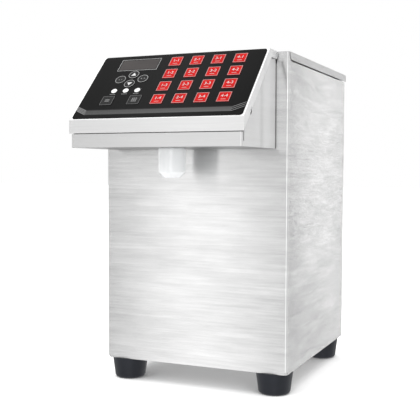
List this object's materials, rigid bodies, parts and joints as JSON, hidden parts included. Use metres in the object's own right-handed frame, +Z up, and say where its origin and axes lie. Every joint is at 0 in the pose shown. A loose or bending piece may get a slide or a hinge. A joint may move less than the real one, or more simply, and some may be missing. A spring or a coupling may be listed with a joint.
{
  "type": "fructose dispenser",
  "caption": "Counter-top syrup dispenser with a steel cabinet, hinged lid over a tank, gear pump, sloping key panel and drop nozzle.",
  "frame": {"origin": "on the ground under the middle of the whole part, from the head's front edge to the lid hinge", "axes": "+Z up, the head and nozzle face -Y, +X is to the right as a user stands in front"},
  "size_m": [0.2714, 0.4166, 0.452],
  "materials": {
    "brushed_steel": "horizontal brushed grain, satin",
    "lid_steel": "brushed grain, satin",
    "satin_steel": "fine satin",
    "plain_steel": "mill finish",
    "tank_steel": "smooth satin",
    "pin_steel": "turned, bright",
    "heater_silicone": "matte",
    "thermostat_metal": "satin",
    "hose_silicone": "smooth translucent look",
    "cast_pump": "fine cast",
    "gear_steel": "hobbed, oiled",
    "motor_enamel": "semi-gloss",
    "supply_case": "satin",
    "black_plastic": "fine texture",
    "foot_rubber": "moulded, slightly glossy",
    "white_plastic": "moulded, glossy",
    "gasket_silicone": "matte",
    "membrane_black": "fine satin film",
    "display_glass": "tinted, glossy",
    "display_black": "plain",
    "board_green": "solder resist",
    "lens_white": "diffusing",
    "switch_black": "plain",
    "standoff_brass": "turned",
    "key_red": "smooth film with printed number",
    "key_dark": "smooth film with printed outline"
  },
  "bodies": {
    "cabinet": {"cabinet_shell": "brushed_steel", "base_plate": "plain_steel", "rear_panel": "plain_steel", "top_deck": "plain_steel", "tank": "tank_steel", "tank_heater": "heater_silicone", "thermostat": "thermostat_metal", "suction_hose": "hose_silicone", "pump_body": "cast_pump", "pump_cover": "cast_pump", "motor": "motor_enamel", "motor_bracket": "plain_steel", "delivery_hose": "hose_silicone", "power_supply": "supply_case", "inlet_socket": "black_plastic", "switch_housing": "black_plastic", "feet": "foot_rubber", "pan_screws": "pin_steel", "hinge_leaf": "plain_steel", "hinge_pin": "pin_steel", "head_housing": "satin_steel", "pivot_pins": "pin_steel", "nozzle": "white_plastic", "nozzle_nut": "white_plastic"},
    "lid": {"lid": "lid_steel", "lid_gasket": "gasket_silicone"},
    "control_panel": {"panel_cover": "satin_steel", "membrane": "membrane_black", "display_window": "display_glass", "display_module": "display_black", "control_board": "board_green", "indicators": "lens_white", "key_switches": "switch_black", "board_standoffs": "standoff_brass", "locating_studs": "pin_steel"},
    "drive_gear": {"drive_gear": "gear_steel"},
    "driven_gear": {"driven_gear": "gear_steel"},
    "rocker": {"rocker": "black_plastic"},
    "key_1_1": {"key_1_1": "key_red"},
    "key_1_2": {"key_1_2": "key_red"},
    "key_1_3": {"key_1_3": "key_red"},
    "key_1_4": {"key_1_4": "key_red"},
    "key_2_1": {"key_2_1": "key_red"},
    "key_2_2": {"key_2_2": "key_red"},
    "key_2_3": {"key_2_3": "key_red"},
    "key_2_4": {"key_2_4": "key_red"},
    "key_3_1": {"key_3_1": "key_red"},
    "key_3_2": {"key_3_2": "key_red"},
    "key_3_3": {"key_3_3": "key_red"},
    "key_3_4": {"key_3_4": "key_red"},
    "key_4_1": {"key_4_1": "key_red"},
    "key_4_2": {"key_4_2": "key_red"},
    "key_4_3": {"key_4_3": "key_red"},
    "key_4_4": {"key_4_4": "key_red"},
    "key_up": {"key_up": "key_dark"},
    "key_down": {"key_down": "key_dark"},
    "key_back": {"key_back": "key_dark"},
    "key_next": {"key_next": "key_dark"},
    "key_clean": {"key_clean": "key_dark"},
    "key_menu": {"key_menu": "key_dark"}
  },
  "joints": [
    {"name": "lid_hinge", "type": "hinge", "parent": "cabinet", "child": "lid", "pos_m": [0, 0.20385, 0.4476], "axis": [-1, 0, 0], "range_deg": [0, 100]},
    {"name": "panel_hinge", "type": "hinge", "parent": "cabinet", "child": "control_panel", "pos_m": [0, -0.09305, 0.447], "axis": [-1, 0, 0], "range_deg": [0, 80]},
    {"name": "drive_gear_spin", "type": "hinge", "parent": "cabinet", "child": "drive_gear", "pos_m": [0.0481, -0.01375, 0.08], "axis": [0, 1, 0], "continuous": true},
    {"name": "driven_gear_spin", "type": "hinge", "parent": "cabinet", "child": "driven_gear", "pos_m": [0.0481, -0.01375, 0.104], "axis": [0, 1, 0], "continuous": true},
    {"name": "rocker_tilt", "type": "hinge", "parent": "cabinet", "child": "rocker", "pos_m": [-0.02, 0.19575, 0.092], "axis": [-1, 0, 0], "range_deg": [0, 18]},
    {"name": "key_1_1_press", "type": "slide", "parent": "control_panel", "child": "key_1_1", "axis": [0, 0.7071, -0.7071], "range_m": [0, 0.0004], "stiffness_N_per_m": 600, "springref_m": -0.0004},
    {"name": "key_1_2_press", "type": "slide", "parent": "control_panel", "child": "key_1_2", "axis": [0, 0.7071, -0.7071], "range_m": [0, 0.0004], "stiffness_N_per_m": 600, "springref_m": -0.0004},
    {"name": "key_1_3_press", "type": "slide", "parent": "control_panel", "child": "key_1_3", "axis": [0, 0.7071, -0.7071], "range_m": [0, 0.0004], "stiffness_N_per_m": 600, "springref_m": -0.0004},
    {"name": "key_1_4_press", "type": "slide", "parent": "control_panel", "child": "key_1_4", "axis": [0, 0.7071, -0.7071], "range_m": [0, 0.0004], "stiffness_N_per_m": 600, "springref_m": -0.0004},
    {"name": "key_2_1_press", "type": "slide", "parent": "control_panel", "child": "key_2_1", "axis": [0, 0.7071, -0.7071], "range_m": [0, 0.0004], "stiffness_N_per_m": 600, "springref_m": -0.0004},
    {"name": "key_2_2_press", "type": "slide", "parent": "control_panel", "child": "key_2_2", "axis": [0, 0.7071, -0.7071], "range_m": [0, 0.0004], "stiffness_N_per_m": 600, "springref_m": -0.0004},
    {"name": "key_2_3_press", "type": "slide", "parent": "control_panel", "child": "key_2_3", "axis": [0, 0.7071, -0.7071], "range_m": [0, 0.0004], "stiffness_N_per_m": 600, "springref_m": -0.0004},
    {"name": "key_2_4_press", "type": "slide", "parent": "control_panel", "child": "key_2_4", "axis": [0, 0.7071, -0.7071], "range_m": [0, 0.0004], "stiffness_N_per_m": 600, "springref_m": -0.0004},
    {"name": "key_3_1_press", "type": "slide", "parent": "control_panel", "child": "key_3_1", "axis": [0, 0.7071, -0.7071], "range_m": [0, 0.0004], "stiffness_N_per_m": 600, "springref_m": -0.0004},
    {"name": "key_3_2_press", "type": "slide", "parent": "control_panel", "child": "key_3_2", "axis": [0, 0.7071, -0.7071], "range_m": [0, 0.0004], "stiffness_N_per_m": 600, "springref_m": -0.0004},
    {"name": "key_3_3_press", "type": "slide", "parent": "control_panel", "child": "key_3_3", "axis": [0, 0.7071, -0.7071], "range_m": [0, 0.0004], "stiffness_N_per_m": 600, "springref_m": -0.0004},
    {"name": "key_3_4_press", "type": "slide", "parent": "control_panel", "child": "key_3_4", "axis": [0, 0.7071, -0.7071], "range_m": [0, 0.0004], "stiffness_N_per_m": 600, "springref_m": -0.0004},
    {"name": "key_4_1_press", "type": "slide", "parent": "control_panel", "child": "key_4_1", "axis": [0, 0.7071, -0.7071], "range_m": [0, 0.0004], "stiffness_N_per_m": 600, "springref_m": -0.0004},
    {"name": "key_4_2_press", "type": "slide", "parent": "control_panel", "child": "key_4_2", "axis": [0, 0.7071, -0.7071], "range_m": [0, 0.0004], "stiffness_N_per_m": 600, "springref_m": -0.0004},
    {"name": "key_4_3_press", "type": "slide", "parent": "control_panel", "child": "key_4_3", "axis": [0, 0.7071, -0.7071], "range_m": [0, 0.0004], "stiffness_N_per_m": 600, "springref_m": -0.0004},
    {"name": "key_4_4_press", "type": "slide", "parent": "control_panel", "child": "key_4_4", "axis": [0, 0.7071, -0.7071], "range_m": [0, 0.0004], "stiffness_N_per_m": 600, "springref_m": -0.0004},
    {"name": "key_up_press", "type": "slide", "parent": "control_panel", "child": "key_up", "axis": [0, 0.7071, -0.7071], "range_m": [0, 0.0004], "stiffness_N_per_m": 600, "springref_m": -0.0004},
    {"name": "key_down_press", "type": "slide", "parent": "control_panel", "child": "key_down", "axis": [0, 0.7071, -0.7071], "range_m": [0, 0.0004], "stiffness_N_per_m": 600, "springref_m": -0.0004},
    {"name": "key_back_press", "type": "slide", "parent": "control_panel", "child": "key_back", "axis": [0, 0.7071, -0.7071], "range_m": [0, 0.0004], "stiffness_N_per_m": 600, "springref_m": -0.0004},
    {"name": "key_next_press", "type": "slide", "parent": "control_panel", "child": "key_next", "axis": [0, 0.7071, -0.7071], "range_m": [0, 0.0004], "stiffness_N_per_m": 600, "springref_m": -0.0004},
    {"name": "key_clean_press", "type": "slide", "parent": "control_panel", "child": "key_clean", "axis": [0, 0.7071, -0.7071], "range_m": [0, 0.0004], "stiffness_N_per_m": 600, "springref_m": -0.0004},
    {"name": "key_menu_press", "type": "slide", "parent": "control_panel", "child": "key_menu", "axis": [0, 0.7071, -0.7071], "range_m": [0, 0.0004], "stiffness_N_per_m": 600, "springref_m": -0.0004}
  ],
  "couplings": [
    {"joint": "driven_gear_spin", "follows": "drive_gear_spin", "ratio": -1}
  ]
}
